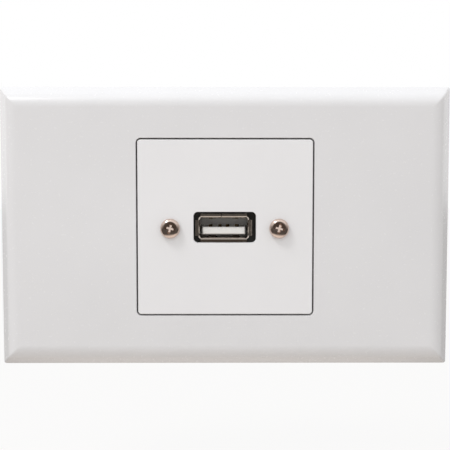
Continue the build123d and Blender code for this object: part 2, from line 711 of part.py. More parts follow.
def clamp_screw(x):
    """Slotted screw at x that closes the cage on its wire."""
    with BuildPart() as screw:
        with BuildSketch(front(CLAMP_HEAD_FRONT)):
            with Locations((x, TERMINAL_Z)):
                Circle(CLAMP_SCREW_HEAD / 2)
        extrude(amount=-CLAMP_SCREW_HEAD_HEIGHT)
        with BuildSketch(front(CLAMP_HEAD_FRONT)):
            with Locations((x, TERMINAL_Z)):
                Circle(CLAMP_SCREW_SHANK / 2)
        extrude(amount=CLAMP_SCREW_RISE + 2 * CAGE_WALL)
        with BuildSketch(front(CLAMP_HEAD_FRONT - CLAMP_SCREW_HEAD_HEIGHT)):
            with Locations((x, TERMINAL_Z)):
                Rectangle(CLAMP_SCREW_SLOT, CLAMP_SCREW_HEAD)
        extrude(amount=CLAMP_SCREW_SLOT_DEPTH, mode=Mode.SUBTRACT)
    return screw


for name, x in zip(POLES, POLE_X):
    save(clamp(x), f"clamp_{name}", RECEPTACLE_PLACE)
    save(clamp_screw(x), f"clamp_screw_{name}", RECEPTACLE_PLACE)
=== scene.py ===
"""Looks of the wall-plate USB data socket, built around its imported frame.

Sizes are written in millimetres and turned into metres where a mesh is finished. X runs along
the plate, Z is up and the face with the receptacle looks along -Y, out of the wall. A depth is
counted out from the wall, so a negative depth lies inside the wall box.
"""
import json
import logging
import math
from dataclasses import dataclass
from enum import Enum

import bmesh
import bpy
from mathutils import Matrix, Vector


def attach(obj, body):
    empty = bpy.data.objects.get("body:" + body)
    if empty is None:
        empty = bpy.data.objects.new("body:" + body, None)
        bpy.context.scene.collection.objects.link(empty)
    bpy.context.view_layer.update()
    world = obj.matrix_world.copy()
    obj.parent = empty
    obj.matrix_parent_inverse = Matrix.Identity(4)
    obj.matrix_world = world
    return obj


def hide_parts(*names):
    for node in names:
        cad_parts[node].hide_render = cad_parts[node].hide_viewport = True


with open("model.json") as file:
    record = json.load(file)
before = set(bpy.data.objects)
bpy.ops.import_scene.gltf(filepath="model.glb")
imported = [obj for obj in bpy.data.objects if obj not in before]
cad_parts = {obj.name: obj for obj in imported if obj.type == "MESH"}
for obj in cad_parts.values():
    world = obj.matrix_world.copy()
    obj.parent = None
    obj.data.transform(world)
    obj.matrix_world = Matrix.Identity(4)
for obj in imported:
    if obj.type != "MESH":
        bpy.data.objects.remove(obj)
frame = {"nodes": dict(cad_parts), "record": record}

LOG = logging.getLogger("socket")
MM = 0.001
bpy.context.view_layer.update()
CORNER_STEPS = 8
FILLET_STEPS = 6
ARC_STEPS = 6
TINY = 1e-4
OVERLAP = 0.05
LEAST_CORNER = 0.1
ROUND_PROFILE = 0.5
DISC_FACES = 16
DISC_RISE = 1.02
FLAT_ANGLE = 0.5
SHARP_SHADING = 24.0
SHARP_FOLD = 40.0
SHARP_CORNER = 25.0

Colour = tuple[float, float, float]
Point = tuple[float, float, float]
Flat = tuple[float, float]
Edges = list[bmesh.types.BMEdge]
Socket = bpy.types.NodeSocket

NOISE_SPAN: Flat = (0.3, 0.7)
FACE: float = 6.5
RECEPTACLE: Flat = (-0.35, -0.17)
CONTACT_X: tuple[float, ...] = (3.5, 1.0, -1.0, -3.5)
BOARD_BACK: float = -11.1
BOARD_FRONT: float = -9.5


class Surface(Enum):
    """How a finish catches the light."""

    PLASTIC = "plastic"
    METAL = "metal"
    MASKED_BOARD = "masked board"


class Ramp(Enum):
    """How a value runs from the start of a span to its end."""

    STRAIGHT = "LINEAR"
    SMOOTH = "SMOOTHSTEP"


def linear(red: int, green: int, blue: int) -> Colour:
    """Turn a colour read on an 8-bit display scale into linear light.

    Args:
        red: Red, from 0 to 255.
        green: Green, from 0 to 255.
        blue: Blue, from 0 to 255.

    Returns:
        The three channels in linear light, from 0 to 1.
    """

    def channel(value: int) -> float:
        """Linear value of one channel."""
        share = value / 255
        return share / 12.92 if share <= 0.04045 else ((share + 0.055) / 1.055) ** 2.4

    return channel(red), channel(green), channel(blue)


def only(items: list, kind: type) -> list:
    """Keep the items of one kind."""
    return [item for item in items if isinstance(item, kind)]


def put(name: str, data: bpy.types.ID) -> bpy.types.Object:
    """Put an object in the scene.

    Args:
        name: Its name.
        data: Its mesh, lamp or camera.

    Returns:
        The new object.
    """
    made = bpy.data.objects.new(name, data)
    bpy.context.scene.collection.objects.link(made)
    return made


def rounded(path: list[Flat], radii: list[float], steps: int = FILLET_STEPS) -> list[Flat]:
    """Replace the inner corners of a path by arcs.

    Args:
        path: Corners of the path, its two ends included.
        radii: One radius for each inner corner.
        steps: Straight runs in each arc.

    Returns:
        The points of the rounded path.
    """
    points = [path[0]]
    for before, corner, after, radius in zip(path, path[1:], path[2:], radii):
        corner = Vector(corner)
        back = (Vector(before) - corner).normalized()
        onward = (Vector(after) - corner).normalized()
        half = back.angle(onward) / 2
        centre = corner + (back + onward).normalized() * radius / math.sin(half)
        first = corner + back * radius / math.tan(half) - centre
        last = corner + onward * radius / math.tan(half) - centre
        turn = first.angle(last)
        for step in range(steps + 1):
            share = step / steps
            arm = first * math.sin((1 - share) * turn) + last * math.sin(share * turn)
            points.append(tuple(centre + arm / math.sin(turn)))
    points.append(path[-1])
    return points


class Graph:
    """Short calls for the nodes of a material or of the world."""

    def __init__(self, tree: bpy.types.NodeTree) -> None:
        """Work on a node tree."""
        self.tree = tree

    def node(self, kind: str, **values: object) -> bpy.types.Node:
        """Add a node and set its attributes.

        Args:
            kind: The node's type, without its ShaderNode prefix.
            **values: Attributes to set on it.

        Returns:
            The new node.
        """
        made = self.tree.nodes.new("ShaderNode" + kind)
        for key, value in values.items():
            setattr(made, key, value)
        return made

    def link(self, source: Socket, target: Socket) -> None:
        """Join an output to an input."""
        self.tree.links.new(source, target)

    def ramp(self, value: Socket, span: Flat, result: Flat, curve: Ramp = Ramp.SMOOTH) -> Socket:
        """Map a value from one span to another.

        Args:
            value: The value.
            span: Where the value starts and ends.
            result: What it becomes there.
            curve: How it runs between the two.

        Returns:
            The mapped value.
        """
        made = self.node("MapRange", interpolation_type=curve.value)
        for name, number in zip(("From Min", "From Max", "To Min", "To Max"), (*span, *result)):
            made.inputs[name].default_value = number
        self.link(value, made.inputs["Value"])
        return made.outputs["Result"]

    def blend(self, share: Socket, first: Colour | Socket, second: Colour | Socket) -> Socket:
        """Mix two colours.

        Args:
            share: How much of the second colour shows.
            first: Colour, or a socket that gives one.
            second: Colour, or a socket that gives one.

        Returns:
            The mixed colour.
        """
        mix = self.node("Mix", data_type="RGBA", clamp_factor=True)
        self.link(share, mix.inputs["Factor"])
        for key, value in (("A", first), ("B", second)):
            socket = next(s for s in mix.inputs if s.name == key and s.type == "RGBA")
            if isinstance(value, Socket):
                self.link(value, socket)
            else:
                socket.default_value = (*value, 1.0)
        return next(s for s in mix.outputs if s.type == "RGBA")

    def choose(self, share: Socket, first: Socket, second: Socket) -> Socket:
        """Mix two shaders.

        Args:
            share: How much of the second shader shows.
            first: Shader that shows at 0.
            second: Shader that shows at 1.

        Returns:
            The mixed shader.
        """
        mix = self.node("MixShader")
        for place, source in enumerate((share, first, second)):
            self.link(source, mix.inputs[place])
        return mix.outputs["Shader"]


class MaterialGraph(Graph):
    """Node tree of one material, with patterns on object coordinates."""

    def __init__(self, name: str) -> None:
        """Start a material that holds one Principled shader.

        Args:
            name: The material's name.
        """
        self.material = bpy.data.materials.new(name)
        self.material.use_nodes = True
        super().__init__(self.material.node_tree)
        self.shader = self.tree.nodes["Principled BSDF"]
        self.place = self.node("TexCoord").outputs["Object"]

    def stretched(self, scale: Point) -> Socket:
        """Scale object coordinates.

        Args:
            scale: Scale along each axis.

        Returns:
            The scaled coordinates.
        """
        mapping = self.node("Mapping")
        mapping.inputs["Scale"].default_value = scale
        self.link(self.place, mapping.inputs["Vector"])
        return mapping.outputs["Vector"]

    def noise(self, scale: float, detail: float = 2.0, stretch: Point = (1, 1, 1)) -> Socket:
        """Add a noise pattern on object coordinates.

        Args:
            scale: Cells per metre.
            detail: Octaves of finer noise.
            stretch: Scale along each axis, for brushed or drawn grain.

        Returns:
            The pattern's value, around a half.
        """
        pattern = self.node("TexNoise")
        pattern.inputs["Scale"].default_value = scale
        pattern.inputs["Detail"].default_value = detail
        self.link(self.stretched(stretch), pattern.inputs["Vector"])
        return pattern.outputs["Fac"]

    def spread(self, value: Socket, low: float, high: float) -> Socket:
        """Stretch a noise value, which stays near a half, over low to high."""
        return self.ramp(value, NOISE_SPAN, (low, high), Ramp.STRAIGHT)

    def bump(self, height: Socket, distance: float, strength: float = 1.0) -> None:
        """Raise the surface by a pattern, on top of any bump that is already there.

        Args:
            height: The pattern.
            distance: Its depth in metres.
            strength: Share of it that shows.
        """
        relief = self.node("Bump")
        relief.inputs["Distance"].default_value = distance
        relief.inputs["Strength"].default_value = strength
        self.link(height, relief.inputs["Height"])
        normal = self.shader.inputs["Normal"]
        if normal.links:
            self.link(normal.links[0].from_socket, relief.inputs["Normal"])
        self.link(relief.outputs["Normal"], normal)


@dataclass(frozen=True)
class Finish:
    """One finish: its colour, how rough it is and the grain that it shows."""

    name: str
    base: Colour
    rough: float
    surface: Surface = Surface.PLASTIC
    mottle: float = 0.01
    mottle_scale: float = 60.0
    rough_swing: float = 0.04
    grain_scale: float = 900.0
    grain_depth: float = 0.004
    grain_stretch: Point = (1, 1, 1)
    coat: float = 0.0
    coat_rough: float = 0.05

    def build(self) -> bpy.types.Material:
        """Make the material.

        Returns:
            A material whose colour, roughness and relief come from patterns on object coordinates.
        """
        graph = MaterialGraph(self.name)
        shader = graph.shader
        shader.inputs["Metallic"].default_value = 1.0 if self.surface is Surface.METAL else 0.0
        cloud = graph.noise(self.mottle_scale, 3.0)
        darker = tuple(c * (1 - 2 * self.mottle) for c in self.base)
        colour = graph.blend(graph.spread(cloud, 0, 1), self.base, darker)
        graph.link(colour, shader.inputs["Base Color"])
        grain = graph.noise(self.grain_scale, 2.0, self.grain_stretch)
        rough = graph.spread(grain, self.rough - self.rough_swing, self.rough + self.rough_swing)
        graph.link(rough, shader.inputs["Roughness"])
        graph.bump(grain, self.grain_depth * MM)
        shader.inputs["Coat Weight"].default_value = self.coat
        shader.inputs["Coat Roughness"].default_value = self.coat_rough
        return graph.material


FINISHES: dict[str, Finish] = {
    finish.name: finish
    for finish in (
        Finish("cover_white", linear(229, 228, 229), 0.24, grain_scale=1400, grain_depth=0.0012),
        Finish("insert_white", linear(238, 237, 238), 0.32, grain_scale=1800, grain_depth=0.0016),
        Finish("frame_white", linear(222, 221, 218), 0.5, grain_scale=1500, grain_depth=0.004),
        Finish("plated_screw", linear(222, 202, 190), 0.13, Surface.METAL, grain_depth=0.001),
        Finish("housing_black", linear(26, 25, 20), 0.58, grain_scale=3000, grain_depth=0.006),
        Finish("brass_bush", linear(214, 180, 110), 0.28, Surface.METAL, grain_stretch=(1, 12, 1)),
        Finish("shell_steel", linear(202, 192, 182), 0.15, Surface.METAL, grain_stretch=(1, 14, 1)),
        Finish("tongue_white", linear(253, 252, 248), 0.42, grain_depth=0.002),
        Finish("contact_gold", linear(214, 190, 140), 0.26, Surface.METAL, grain_depth=0.001),
        Finish("board_green", linear(22, 92, 52), 0.34, Surface.MASKED_BOARD, coat=0.4),
        Finish("masked_copper", linear(48, 128, 74), 0.3, Surface.MASKED_BOARD, coat=0.4),
        Finish("terminal_green", linear(58, 140, 82), 0.4, grain_scale=2200, grain_depth=0.004),
        Finish("clamp_metal", linear(200, 196, 186), 0.34, Surface.METAL, grain_stretch=(1, 1, 9)),
        Finish("zinc_screw", linear(190, 192, 196), 0.3, Surface.METAL, grain_depth=0.002),
    )
}


@dataclass(frozen=True)
class Outline:
    """A rounded rectangle parallel to the wall. A circle is one whose corners meet."""

    width: float
    height: float
    corner: float
    depth: float
    middle: Flat = (0.0, 0.0)

    def drawn_in(self, inset: float, depth: float) -> "Outline":
        """Draw the outline in.

        Args:
            inset: How much smaller it becomes on every side.
            depth: Its new depth.

        Returns:
            The smaller outline. Its corners keep a radius of 0.1 mm at least.
        """
        return Outline(
            self.width - 2 * inset,
            self.height - 2 * inset,
            max(self.corner - inset, LEAST_CORNER),
            depth,
            self.middle,
        )


def circle(diameter: float, depth: float, middle: Flat) -> Outline:
    """Outline of a round hole."""
    return Outline(diameter, diameter, diameter / 2 - TINY, depth, middle)


class Workpiece:
    """A piece being made: a bmesh in millimetres that operators shape."""

    def __init__(self, name: str) -> None:
        """Start an empty piece."""
        self.name = name
        self.mesh = bmesh.new()

    def lay(self, outline: Outline) -> Edges:
        """Draw an outline.

        Args:
            outline: Its size and place.

        Returns:
            The edges of the closed loop.
        """
        place = (
            Matrix.Translation((outline.middle[0], -outline.depth, outline.middle[1]))
            @ Matrix.Rotation(math.radians(90), 4, "X")
            @ Matrix.Diagonal((outline.width, outline.height, 1, 1))
        )
        corners = bmesh.ops.create_grid(self.mesh, x_segments=1, y_segments=1, size=0.5, matrix=place)
        bent = bmesh.ops.bevel(
            self.mesh,
            geom=corners["verts"],
            offset=outline.corner,
            segments=CORNER_STEPS,
            profile=ROUND_PROFILE,
            affect="VERTICES",
            material=-1,
        )
        face = bent["verts"][0].link_faces[0]
        edges = list(face.edges)
        bmesh.ops.delete(self.mesh, geom=[face], context="FACES_ONLY")
        return edges

    def bridge(self, first: Edges, second: Edges) -> None:
        """Join two loops by a band of faces."""
        bmesh.ops.bridge_loops(self.mesh, edges=first + second)

    def fill(self, *loops: Edges) -> None:
        """Close a flat face round the outer loop, with the other loops as holes in it."""
        edges = [edge for loop in loops for edge in loop]
        bmesh.ops.triangle_fill(self.mesh, edges=edges, use_beauty=True, use_dissolve=False)

    def chain(self, outlines: list[Outline]) -> tuple[Edges, Edges]:
        """Draw outlines one after another and join each to the next.

        Args:
            outlines: The outlines in order.

        Returns:
            The edges of the first and of the last.
        """
        loops = [self.lay(outline) for outline in outlines]
        for first, second in zip(loops, loops[1:]):
            self.bridge(first, second)
        return loops[0], loops[-1]

    def turn(self, profile: list[Flat], middle: Flat, steps: int) -> None:
        """Spin a profile about an axis out of the wall.

        Args:
            profile: Points as (radius, depth).
            middle: Where the axis stands, as (x, z).
            steps: Faces round the piece.
        """
        x, z = middle
        verts = [self.mesh.verts.new((x + radius, -depth, z)) for radius, depth in profile]
        edges = [self.mesh.edges.new(pair) for pair in zip(verts, verts[1:])]
        bmesh.ops.spin(
            self.mesh,
            geom=verts + edges,
            cent=(x, 0, z),
            axis=(0, -1, 0),
            angle=2 * math.pi,
            steps=steps,
            use_merge=True,
        )

    def block(self, low: Point, high: Point, soften: float = 0.1) -> None:
        """Add a box with broken edges.

        Args:
            low: Lowest corner, as (x, depth, z).
            high: Highest corner, as (x, depth, z).
            soften: Width of the broken edges.
        """
        size = [b - a for a, b in zip(low, high)]
        middle = [(a + b) / 2 for a, b in zip(low, high)]
        place = Matrix.Translation((middle[0], -middle[1], middle[2])) @ Matrix.Diagonal((*size, 1))
        made = bmesh.ops.create_cube(self.mesh, size=1, matrix=place)
        edges = list({edge for vert in made["verts"] for edge in vert.link_edges})
        self.break_edges(edges, soften)

    def prism(self, outline: list[Flat], start: float, end: float, soften: float = 0.1) -> None:
        """Add a bar of constant section along X.

        Args:
            outline: Corners of the section, as (depth, z).
            start: First end on X.
            end: Last end on X.
            soften: Width of the broken edges.
        """
        verts = [self.mesh.verts.new((start, -depth, z)) for depth, z in outline]
        face = self.mesh.faces.new(verts)
        made = bmesh.ops.extrude_face_region(self.mesh, geom=[face], use_keep_orig=True)["geom"]
        moved = only(made, bmesh.types.BMVert)
        bmesh.ops.translate(self.mesh, verts=moved, vec=(end - start, 0, 0))
        bmesh.ops.recalc_face_normals(self.mesh, faces=self.mesh.faces)
        edges = {edge for vert in verts + moved for edge in vert.link_edges}
        limit = math.radians(SHARP_CORNER)
        self.break_edges([edge for edge in edges if edge.calc_face_angle() > limit], soften)

    def track(self, route: list[Flat], width: float, depths: Flat) -> None:
        """Add a thin flat band with rounded corners, parallel to the wall.

        Args:
            route: Its corners, as (x, z).
            width: Its width.
            depths: Depth of its back and of its front.
        """
        depth = -sum(depths) / 2
        thick = abs(depths[1] - depths[0])
        for start, end in zip(route, route[1:]):
            along = Vector(end) - Vector(start)
            middle = (Vector(start) + Vector(end)) / 2
            turn = Matrix.Rotation(-math.atan2(along.y, along.x), 4, "Y")
            place = Matrix.Translation((middle.x, depth, middle.y)) @ turn
            size = Matrix.Diagonal((along.length, thick, width, 1))
            bmesh.ops.create_cube(self.mesh, size=1, matrix=place @ size)
        for x, z in route:
            bmesh.ops.create_cone(
                self.mesh,
                cap_ends=True,
                segments=DISC_FACES,
                radius1=width / 2,
                radius2=width / 2,
                depth=thick * DISC_RISE,
                matrix=Matrix.Translation((x, depth, z)) @ Matrix.Rotation(math.radians(90), 4, "X"),
            )

    def break_edges(self, edges: Edges, width: float) -> None:
        """Round edges a little.

        Args:
            edges: The edges.
            width: Width of the rounding.
        """
        bmesh.ops.bevel(
            self.mesh,
            geom=edges,
            offset=width,
            segments=2,
            profile=ROUND_PROFILE,
            affect="EDGES",
            clamp_overlap=True,
            material=-1,
        )

    def take(self, node: str) -> None:
        """Copy the solid of a node and merge its loose triangles into whole faces.

        Args:
            node: The node's name.
        """
        self.mesh.from_mesh(frame["nodes"][node].data)
        bmesh.ops.scale(self.mesh, vec=(1 / MM, 1 / MM, 1 / MM), verts=self.mesh.verts)
        bmesh.ops.remove_doubles(self.mesh, verts=self.mesh.verts, dist=TINY)
        bmesh.ops.dissolve_limit(
            self.mesh,
            angle_limit=math.radians(FLAT_ANGLE),
            verts=self.mesh.verts,
            edges=self.mesh.edges,
        )

    def trim(self, depth: float) -> None:
        """Cut off what stands far out and close the cut.

        Args:
            depth: Depth of the cut.
        """
        cut = bmesh.ops.bisect_plane(
            self.mesh,
            geom=[*self.mesh.verts, *self.mesh.edges, *self.mesh.faces],
            dist=TINY,
            plane_co=(0, -depth, 0),
            plane_no=(0, -1, 0),
            clear_outer=True,
        )
        self.fill(only(cut["geom_cut"], bmesh.types.BMEdge))

    def sharp_edges(self, angle: float) -> Edges:
        """Edges between two faces that meet at more than this many degrees."""
        limit = math.radians(angle)
        return [edge for edge in self.mesh.edges if edge.is_manifold and edge.calc_face_angle() > limit]

    def cut(self, tool: "Workpiece") -> None:
        """Take the shape of another piece away from this one.

        Args:
            tool: The other piece. It is used up.
        """
        objects = []
        for piece in (self, tool):
            mesh = bpy.data.meshes.new(piece.name)
            bmesh.ops.recalc_face_normals(piece.mesh, faces=piece.mesh.faces)
            piece.mesh.to_mesh(mesh)
            piece.mesh.free()
            objects.append(put(piece.name, mesh))
        body, cutter = objects
        modifier = body.modifiers.new("recess", "BOOLEAN")
        modifier.operation = "DIFFERENCE"
        modifier.solver = "EXACT"
        modifier.object = cutter
        depsgraph = bpy.context.evaluated_depsgraph_get()
        result = bpy.data.meshes.new_from_object(body.evaluated_get(depsgraph))
        self.mesh = bmesh.new()
        self.mesh.from_mesh(result)
        bpy.data.meshes.remove(result)
        for thing in objects:
            data = thing.data
            bpy.data.objects.remove(thing)
            bpy.data.meshes.remove(data)

    def finish(self, slot: str, workshop: "Workshop", *nodes: str, look: str | None = None) -> None:
        """Close the piece, put it in the scene and dress it.

        Args:
            slot: Its material slot.
            workshop: Gives the material.
            *nodes: Nodes that it stands for.
            look: Its finish, where that isn't the slot's own.
        """
        bmesh.ops.remove_doubles(self.mesh, verts=self.mesh.verts, dist=TINY)
        bmesh.ops.recalc_face_normals(self.mesh, faces=self.mesh.faces)
        bmesh.ops.scale(self.mesh, vec=(MM, MM, MM), verts=self.mesh.verts)
        open_edges = sum(not item.is_manifold for item in self.mesh.edges)
        mesh = bpy.data.meshes.new(self.name)
        self.mesh.to_mesh(mesh)
        self.mesh.free()
        mesh.shade_smooth()
        mesh.set_sharp_from_angle(angle=math.radians(SHARP_SHADING))
        mesh.materials.append(workshop.material(look or slot))
        piece = put(self.name, mesh)
        even = piece.modifiers.new("even shading", "WEIGHTED_NORMAL")
        even.keep_sharp = True
        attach(piece, "root")
        if nodes:
            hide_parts(*nodes)
        LOG.info("made %s, %d faces, %d open edges", self.name, len(mesh.polygons), open_edges)


class Workshop:
    """Keeps one material per finish and dresses the nodes and pieces with them."""

    def __init__(self) -> None:
        """Start with no materials."""
        self.made: dict[str, bpy.types.Material] = {}

    def material(self, name: str) -> bpy.types.Material:
        """Give the material of a finish, which is made on its first use.

        Args:
            name: The finish.

        Returns:
            Its material.
        """
        if name not in self.made:
            self.made[name] = FINISHES[name].build()
        return self.made[name]

    def dress_nodes(self) -> None:
        """Give every node of the frame the material of its own slot."""
        for subpart in frame["record"]["subparts"]:
            node = frame["nodes"][subpart["node"]]
            node.data.materials.clear()
            node.data.materials.append(self.material(subpart["material_slot"]))
            LOG.info("dressed node %s as %s", node.name, subpart["material_slot"])


@dataclass
class CoverPlate:
    """Wide moulded cover with a mitred, blended rim round a square opening."""

    width: float = 118.0
    height: float = 73.2
    depth: float = FACE
    side_land: float = 1.4
    rim_run: float = 3.45
    rim_blend: float = 4.6
    land_blend: float = 0.4
    corner: float = 0.65
    mitre: float = 0.2
    foot_blend: float = 0.2
    side_wall: float = 1.8
    face_wall: float = 2.2
    cavity_corner: float = 1.5
    cavity_taper: float = 25.0
    opening: float = 45.8
    opening_corner: float = 1.25
    mouth_blend: float = 0.1
    collar_wall: float = 1.4
    collar_depth: float = 2.6
    catch: Flat = (38.0, 26.85)
    catch_width: float = 7.0
    catch_wall: float = 1.2
    catch_barb: float = 0.6
    catch_tip: float = 0.2
    barb_top: float = 0.8
    catch_root: float = 0.2
    catch_blend: float = 0.08

    def rim(self) -> list[Outline]:
        """Draw the rim, whose corners grow crisper from the wall to the face.

        Returns:
            Its outlines, from its foot on the wall to the flat of the face.
        """
        section = rounded(
            [
                (self.foot_blend, 0),
                (0, self.foot_blend),
                (0, self.side_land),
                (self.rim_run, self.depth),
                (2 * self.rim_run, self.depth),
            ],
            [self.foot_blend, self.land_blend, self.rim_blend],
        )
        outlines = []
        for inset, depth in section[:-1]:
            share = max(inset, 0) / section[-2][0]
            corner = self.corner + (self.mitre - self.corner) * share
            outlines.append(Outline(self.width - 2 * inset, self.height - 2 * inset, corner, depth))
        return outlines

    def mouth(self) -> list[Outline]:
        """Draw the opening.

        Returns:
            Its outlines, over its rounded edge and down inside its collar.
        """
        blend = self.mouth_blend
        flush = Outline(self.opening, self.opening, self.opening_corner, 0)
        path = [(-2 * blend, self.depth), (0, self.depth), (0, self.collar_depth)]
        section = rounded(path, [blend])
        return [flush.drawn_in(inset, depth) for inset, depth in section[1:]]

    def collar(self, ceiling: float) -> list[Outline]:
        """Outlines up the outside of the collar, from its end to the ceiling."""
        flush = Outline(self.opening, self.opening, self.opening_corner, 0)
        return [flush.drawn_in(-self.collar_wall, depth) for depth in (self.collar_depth, ceiling)]

    def cavity(self, ceiling: float) -> list[Outline]:
        """Draw the leaning sides of the cavity.

        Args:
            ceiling: Depth of the back of the face.

        Returns:
            Its outlines at the ceiling and at the wall.
        """
        width, height = (size - 2 * self.side_wall for size in (self.width, self.height))
        foot = Outline(width, height, self.cavity_corner, 0)
        lean = ceiling * math.tan(math.radians(self.cavity_taper))
        return [foot.drawn_in(lean, ceiling), foot]

    def build(self, workshop: Workshop) -> None:
        """Make the cover as one closed wall and add its four catches.

        Args:
            workshop: Gives the material.
        """
        piece = Workpiece("cover_moulding")
        ceiling = self.depth - self.face_wall
        rim_foot, rim_top = piece.chain(self.rim())
        mouth_top, mouth_end = piece.chain(self.mouth())
        collar_end, collar_root = piece.chain(self.collar(ceiling))
        cavity_top, cavity_foot = piece.chain(self.cavity(ceiling))
        piece.fill(rim_top, mouth_top)
        piece.fill(collar_end, mouth_end)
        piece.fill(cavity_top, collar_root)
        piece.fill(rim_foot, cavity_foot)
        x, z = self.catch
        for side in (1, -1):
            inner, outer = z - self.catch_wall / 2, z + self.catch_wall / 2
            section = [
                (ceiling + self.catch_root, side * inner),
                (ceiling + self.catch_root, side * outer),
                (self.barb_top, side * outer),
                (self.barb_top, side * (outer + self.catch_barb)),
                (self.catch_tip, side * (outer + self.catch_barb / 2)),
                (self.catch_tip, side * inner),
            ]
            half = self.catch_width / 2
            for middle in (-x, x):
                piece.prism(section, middle - half, middle + half, self.catch_blend)
        piece.finish("cover_white", workshop, "cover_plate")


@dataclass
class InsertPlate:
    """Square insert: face with the receptacle's hole, skirt, clip legs, guides and locators."""

    span: float = 45.0
    corner: float = 0.85
    edge_blend: float = 0.22
    face: float = FACE
    foot: float = 2.6
    wall: float = 2.0
    draft: float = 2.0
    skirt_wall: float = 1.5
    hole: Outline = Outline(16.1, 7.95, 1.15, 0, (-0.1, 0))
    hole_blend: float = 0.12
    hole_steps: int = 3
    screw_hole: float = 3.4
    screw_spacing: float = 28.0
    screw_place: Flat = (-0.13, -0.3)
    leg_x: float = 12.0
    leg_width: float = 6.0
    leg_outer: float = 21.3
    leg_wall: float = 1.4
    barb: float = 1.0
    throat: float = -4.0
    barb_length: float = 1.3
    guide_width: float = 8.0
    guide_end: float = -3.0
    locator: Flat = (4.6, 0.8)
    locator_z: float = 5.1
    locator_rise: float = 1.4
    locator_blend: float = 0.06
    root: float = 0.3

    def build(self, workshop: Workshop) -> None:
        """Make the insert's walls, then what stands on its back.

        Args:
            workshop: Gives the material.
        """
        piece = Workpiece("insert_moulding")
        back = self.face - self.wall
        lean = (self.face - self.foot) * math.tan(math.radians(self.draft))
        blend = self.edge_blend
        whole = Outline(self.span, self.span, self.corner, 0)
        edge = rounded([(lean, self.foot), (0, self.face), (2 * blend, self.face)], [blend])
        skirt, rim = piece.chain([whole.drawn_in(inset, depth) for inset, depth in edge[:-1]])
        inner = whole.drawn_in(self.skirt_wall, self.foot)
        inner_foot, inner_back = piece.chain([inner, inner.drawn_in(0, back)])
        piece.fill(skirt, inner_foot)
        fronts, backs = [rim], [inner_back]
        blend = self.hole_blend
        path = [(-2 * blend, self.face), (0, self.face), (0, back)]
        section = rounded(path, [blend], self.hole_steps)[1:]
        first, last = piece.chain([self.hole.drawn_in(inset, depth) for inset, depth in section])
        fronts.append(first)
        backs.append(last)
        for side in (1, -1):
            middle = self.screw_middle(side)
            holes = [circle(self.screw_hole, depth, middle) for depth in (self.face, back)]
            first, last = piece.chain(holes)
            fronts.append(first)
            backs.append(last)
        piece.fill(*fronts)
        piece.fill(*backs)
        self.add_clips(piece, back)
        piece.finish("insert_white", workshop, "module_plate")

    def screw_middle(self, side: int) -> Flat:
        """Middle of a screw, on the left for -1 and on the right for 1."""
        return self.screw_place[0] + side * self.screw_spacing / 2, self.screw_place[1]

    def add_clips(self, piece: Workpiece, back: float) -> None:
        """Stand the clip legs, the guides and the locators on the back of the face.

        Args:
            piece: The insert.
            back: Depth of the back of the face.
        """
        root = back + self.root
        inner = self.leg_outer - self.leg_wall
        barb_end = self.throat - self.barb_length
        section = [
            (root, inner),
            (root, self.leg_outer),
            (self.throat, self.leg_outer),
            (self.throat, self.leg_outer + self.barb),
            (barb_end, self.leg_outer - self.leg_wall / 2),
            (barb_end, inner),
        ]
        for side in (1, -1):
            mirrored = [(depth, side * z) for depth, z in section]
            for x in (-self.leg_x, self.leg_x):
                piece.prism(mirrored, x - self.leg_width / 2, x + self.leg_width / 2)
            low, high = sorted((side * inner, side * self.leg_outer))
            half = self.guide_width / 2
            piece.block((low, self.guide_end, -half), (high, root, half))
            across, up = (size / 2 for size in self.locator)
            z = side * self.locator_z
            for x in (-self.screw_spacing / 2, self.screw_spacing / 2):
                low, high = (x - across, back - self.locator_rise, z - up), (x + across, root, z + up)
                piece.block(low, high, self.locator_blend)


